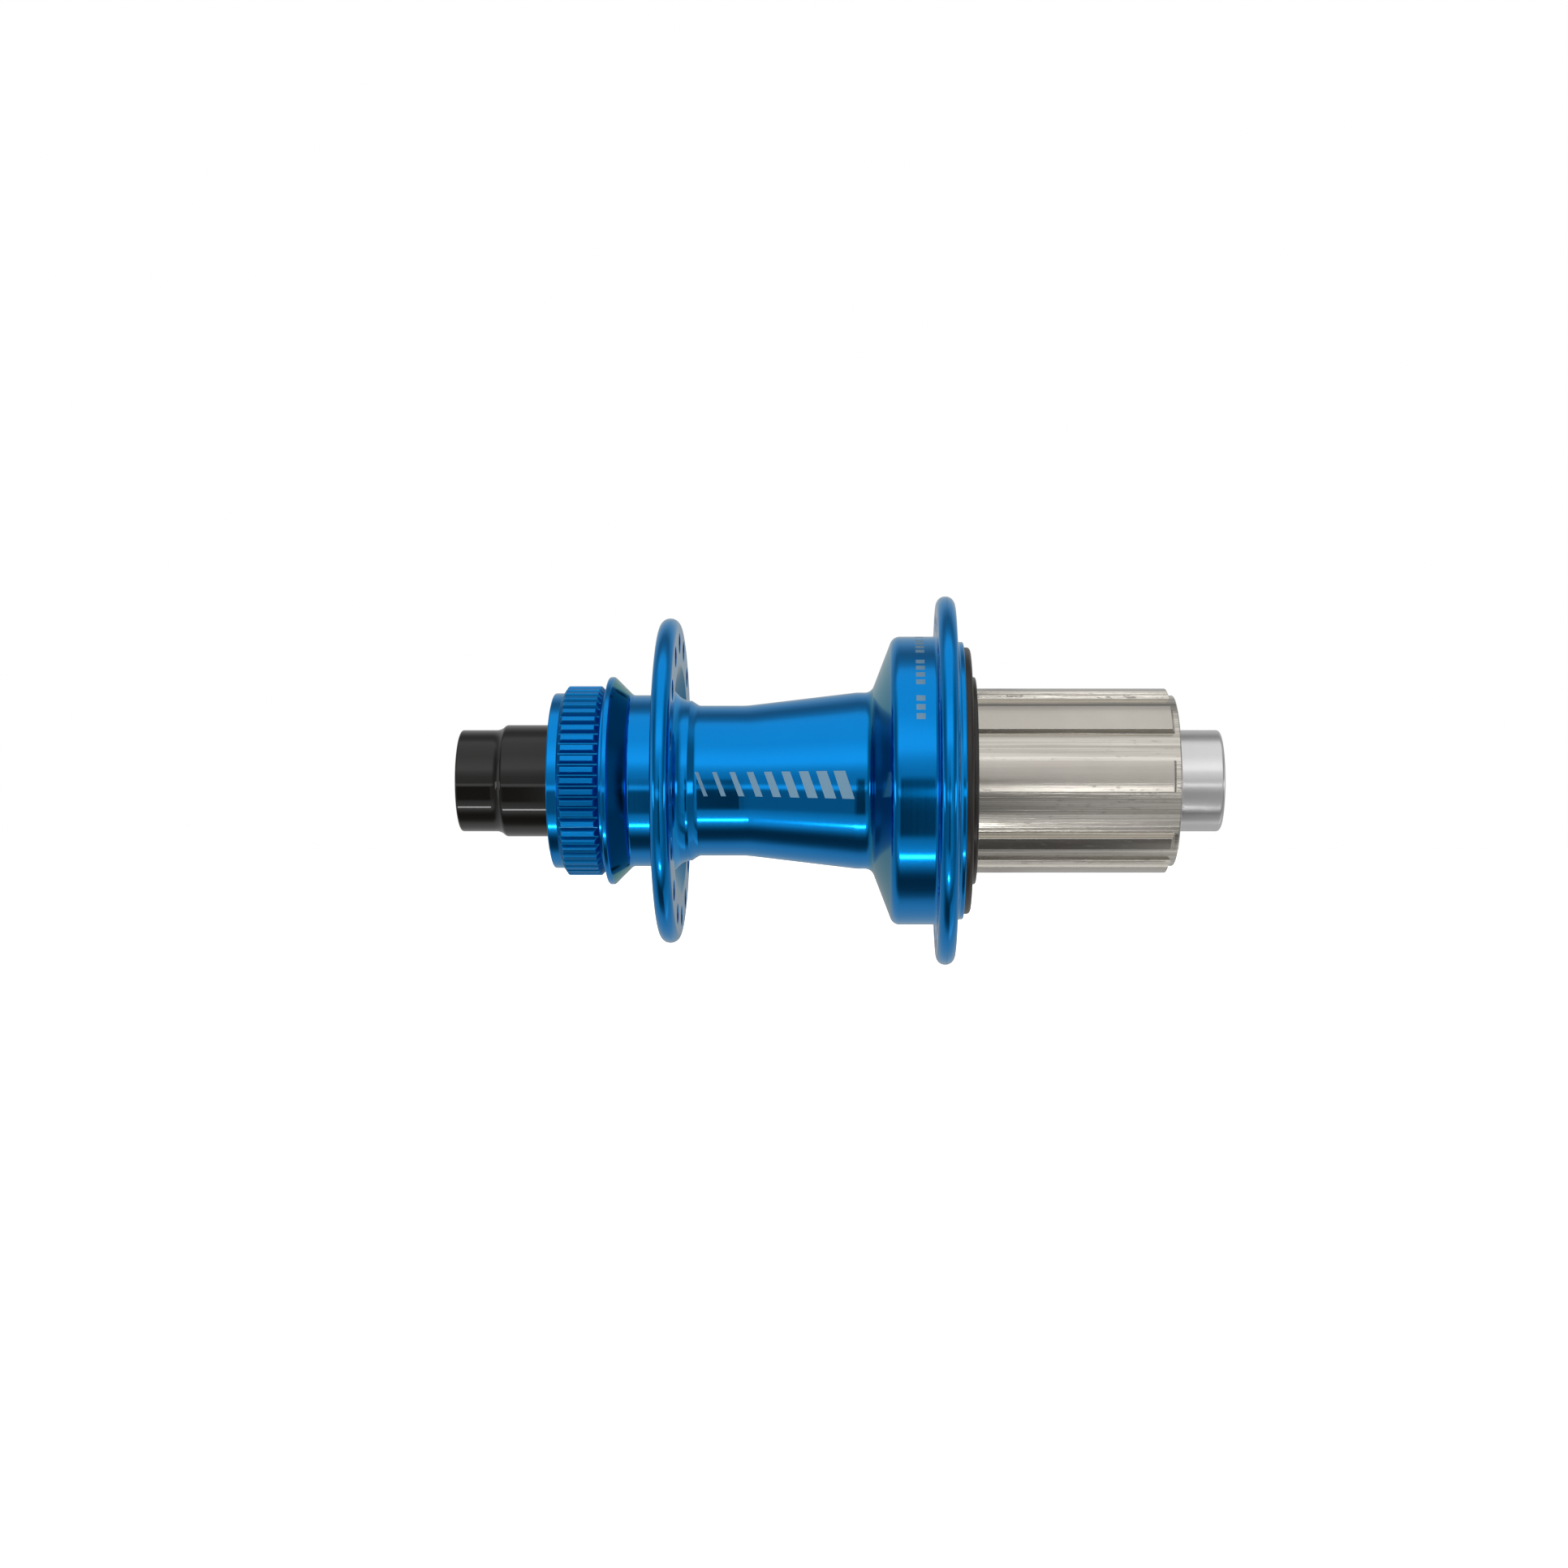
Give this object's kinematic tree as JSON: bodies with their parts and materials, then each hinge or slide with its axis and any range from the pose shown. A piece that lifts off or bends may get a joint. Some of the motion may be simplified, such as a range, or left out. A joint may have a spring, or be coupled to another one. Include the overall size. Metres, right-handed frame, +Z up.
{
  "type": "rear bicycle hub",
  "caption": "Rear disc-brake bicycle hub with blue flanged shell, splined rotor seat, pawl freehub with cassette spline and push-on through-axle end caps.",
  "frame": {"origin": "on the axle line, midway between the two end faces", "axes": "+X along the axle towards the cassette side, +Z up, +Y the way the bicycle rides"},
  "size_m": [0.142, 0.069, 0.069],
  "materials": {
    "shell_anodised": "blue anodised over fine turning marks",
    "cap_black": "black anodised, satin",
    "cap_silver": "fine turned, bright",
    "axle_alloy": "turned",
    "freehub_steel": "nickel plated, lightly scuffed",
    "dark_steel": "hardened, oiled",
    "spring_steel": "spring temper",
    "stop_ring_black": "black oxide",
    "rubber_black": "moulded rubber",
    "bearing_steel": "ground and polished",
    "cage_nylon": "moulded nylon"
  },
  "bodies": {
    "axle": {"axle": "axle_alloy", "left_cap_o_ring": "rubber_black", "right_cap_o_ring": "rubber_black", "axle_spacer": "axle_alloy", "freehub_spacer_tube": "axle_alloy", "left_bearing_inner_race": "bearing_steel", "right_bearing_inner_race": "bearing_steel", "freehub_inner_bearing_inner_race": "bearing_steel", "freehub_outer_bearing_inner_race": "bearing_steel"},
    "shell": {"hub_shell": "shell_anodised", "ratchet_ring": "dark_steel", "drive_side_seal": "rubber_black", "left_bearing_outer_race": "bearing_steel", "left_bearing_seals": "rubber_black", "right_bearing_outer_race": "bearing_steel", "right_bearing_seals": "rubber_black"},
    "freehub": {"freehub_body": "freehub_steel", "cassette_stop_ring": "stop_ring_black", "freehub_circlip": "dark_steel", "pawl_retainer": "dark_steel", "freehub_inner_bearing_outer_race": "bearing_steel", "freehub_inner_bearing_seals": "rubber_black", "freehub_outer_bearing_outer_race": "bearing_steel", "freehub_outer_bearing_seals": "rubber_black"},
    "left_cap": {"left_end_cap": "cap_black"},
    "right_cap": {"right_end_cap": "cap_silver"},
    "left_bearing_train": {"left_bearing_balls": "bearing_steel", "left_bearing_cage": "cage_nylon"},
    "right_bearing_train": {"right_bearing_balls": "bearing_steel", "right_bearing_cage": "cage_nylon"},
    "freehub_inner_bearing_train": {"freehub_inner_bearing_balls": "bearing_steel", "freehub_inner_bearing_cage": "cage_nylon"},
    "freehub_outer_bearing_train": {"freehub_outer_bearing_balls": "bearing_steel", "freehub_outer_bearing_cage": "cage_nylon"},
    "pawl_1": {"pawl_1": "dark_steel"},
    "pawl_spring_1": {"pawl_spring_1": "spring_steel"},
    "pawl_2": {"pawl_2": "dark_steel"},
    "pawl_spring_2": {"pawl_spring_2": "spring_steel"},
    "pawl_3": {"pawl_3": "dark_steel"},
    "pawl_spring_3": {"pawl_spring_3": "spring_steel"},
    "pawl_4": {"pawl_4": "dark_steel"},
    "pawl_spring_4": {"pawl_spring_4": "spring_steel"},
    "pawl_5": {"pawl_5": "dark_steel"},
    "pawl_spring_5": {"pawl_spring_5": "spring_steel"},
    "pawl_6": {"pawl_6": "dark_steel"},
    "pawl_spring_6": {"pawl_spring_6": "spring_steel"}
  },
  "joints": [
    {"name": "shell_spin", "type": "hinge", "parent": "axle", "child": "shell", "pos_m": [0, 0, 0], "axis": [1, 0, 0], "continuous": true},
    {"name": "freehub_spin", "type": "hinge", "parent": "axle", "child": "freehub", "pos_m": [0, 0, 0], "axis": [1, 0, 0], "continuous": true},
    {"name": "left_bearing_roll", "type": "hinge", "parent": "axle", "child": "left_bearing_train", "pos_m": [-0.0425, 0, 0], "axis": [1, 0, 0], "continuous": true},
    {"name": "right_bearing_roll", "type": "hinge", "parent": "axle", "child": "right_bearing_train", "pos_m": [0.003, 0, 0], "axis": [1, 0, 0], "continuous": true},
    {"name": "freehub_inner_bearing_roll", "type": "hinge", "parent": "axle", "child": "freehub_inner_bearing_train", "pos_m": [0.0145, 0, 0], "axis": [1, 0, 0], "continuous": true},
    {"name": "freehub_outer_bearing_roll", "type": "hinge", "parent": "axle", "child": "freehub_outer_bearing_train", "pos_m": [0.0485, 0, 0], "axis": [1, 0, 0], "continuous": true},
    {"name": "pawl_1_pivot", "type": "hinge", "parent": "freehub", "child": "pawl_1", "pos_m": [0.0145, 0, 0.0169], "axis": [1, 0, 0], "range_deg": [0, 14], "stiffness_Nm_per_rad": 0.01, "springref_deg": 34.38},
    {"name": "pawl_2_pivot", "type": "hinge", "parent": "freehub", "child": "pawl_2", "pos_m": [0.0145, 0.01464, 0.00845], "axis": [1, 0, 0], "range_deg": [0, 14], "stiffness_Nm_per_rad": 0.01, "springref_deg": 34.38},
    {"name": "pawl_3_pivot", "type": "hinge", "parent": "freehub", "child": "pawl_3", "pos_m": [0.0145, 0.01464, -0.00845], "axis": [1, 0, 0], "range_deg": [0, 14], "stiffness_Nm_per_rad": 0.01, "springref_deg": 34.38},
    {"name": "pawl_4_pivot", "type": "hinge", "parent": "freehub", "child": "pawl_4", "pos_m": [0.0145, 0, -0.0169], "axis": [1, 0, 0], "range_deg": [0, 14], "stiffness_Nm_per_rad": 0.01, "springref_deg": 34.38},
    {"name": "pawl_5_pivot", "type": "hinge", "parent": "freehub", "child": "pawl_5", "pos_m": [0.0145, -0.01464, -0.00845], "axis": [1, 0, 0], "range_deg": [0, 14], "stiffness_Nm_per_rad": 0.01, "springref_deg": 34.38},
    {"name": "pawl_6_pivot", "type": "hinge", "parent": "freehub", "child": "pawl_6", "pos_m": [0.0145, -0.01464, 0.00845], "axis": [1, 0, 0], "range_deg": [0, 14], "stiffness_Nm_per_rad": 0.01, "springref_deg": 34.38},
    {"name": "pawl_spring_1_flex", "type": "hinge", "parent": "freehub", "child": "pawl_spring_1", "pos_m": [0.0145, 0.0013, 0.0146], "axis": [1, 0, 0], "range_deg": [0, 17]},
    {"name": "pawl_spring_2_flex", "type": "hinge", "parent": "freehub", "child": "pawl_spring_2", "pos_m": [0.0145, 0.01329, 0.00617], "axis": [1, 0, 0], "range_deg": [0, 17]},
    {"name": "pawl_spring_3_flex", "type": "hinge", "parent": "freehub", "child": "pawl_spring_3", "pos_m": [0.0145, 0.01199, -0.00843], "axis": [1, 0, 0], "range_deg": [0, 17]},
    {"name": "pawl_spring_4_flex", "type": "hinge", "parent": "freehub", "child": "pawl_spring_4", "pos_m": [0.0145, -0.0013, -0.0146], "axis": [1, 0, 0], "range_deg": [0, 17]},
    {"name": "pawl_spring_5_flex", "type": "hinge", "parent": "freehub", "child": "pawl_spring_5", "pos_m": [0.0145, -0.01329, -0.00617], "axis": [1, 0, 0], "range_deg": [0, 17]},
    {"name": "pawl_spring_6_flex", "type": "hinge", "parent": "freehub", "child": "pawl_spring_6", "pos_m": [0.0145, -0.01199, 0.00843], "axis": [1, 0, 0], "range_deg": [0, 17]},
    {"name": "left_cap_pull", "type": "slide", "parent": "axle", "child": "left_cap", "axis": [-1, 0, 0], "range_m": [0, 0.03]},
    {"name": "right_cap_pull", "type": "slide", "parent": "axle", "child": "right_cap", "axis": [1, 0, 0], "range_m": [0, 0.025]}
  ],
  "couplings": [
    {"joint": "left_bearing_roll", "follows": "shell_spin", "ratio": 0.59302},
    {"joint": "right_bearing_roll", "follows": "shell_spin", "ratio": 0.59302},
    {"joint": "freehub_inner_bearing_roll", "follows": "freehub_spin", "ratio": 0.58537},
    {"joint": "freehub_outer_bearing_roll", "follows": "freehub_spin", "ratio": 0.58537},
    {"joint": "pawl_2_pivot", "follows": "pawl_1_pivot", "ratio": 1},
    {"joint": "pawl_3_pivot", "follows": "pawl_1_pivot", "ratio": 1},
    {"joint": "pawl_4_pivot", "follows": "pawl_1_pivot", "ratio": 1},
    {"joint": "pawl_5_pivot", "follows": "pawl_1_pivot", "ratio": 1},
    {"joint": "pawl_6_pivot", "follows": "pawl_1_pivot", "ratio": 1},
    {"joint": "pawl_spring_1_flex", "follows": "pawl_1_pivot", "ratio": 1.2},
    {"joint": "pawl_spring_2_flex", "follows": "pawl_1_pivot", "ratio": 1.2},
    {"joint": "pawl_spring_3_flex", "follows": "pawl_1_pivot", "ratio": 1.2},
    {"joint": "pawl_spring_4_flex", "follows": "pawl_1_pivot", "ratio": 1.2},
    {"joint": "pawl_spring_5_flex", "follows": "pawl_1_pivot", "ratio": 1.2},
    {"joint": "pawl_spring_6_flex", "follows": "pawl_1_pivot", "ratio": 1.2}
  ]
}
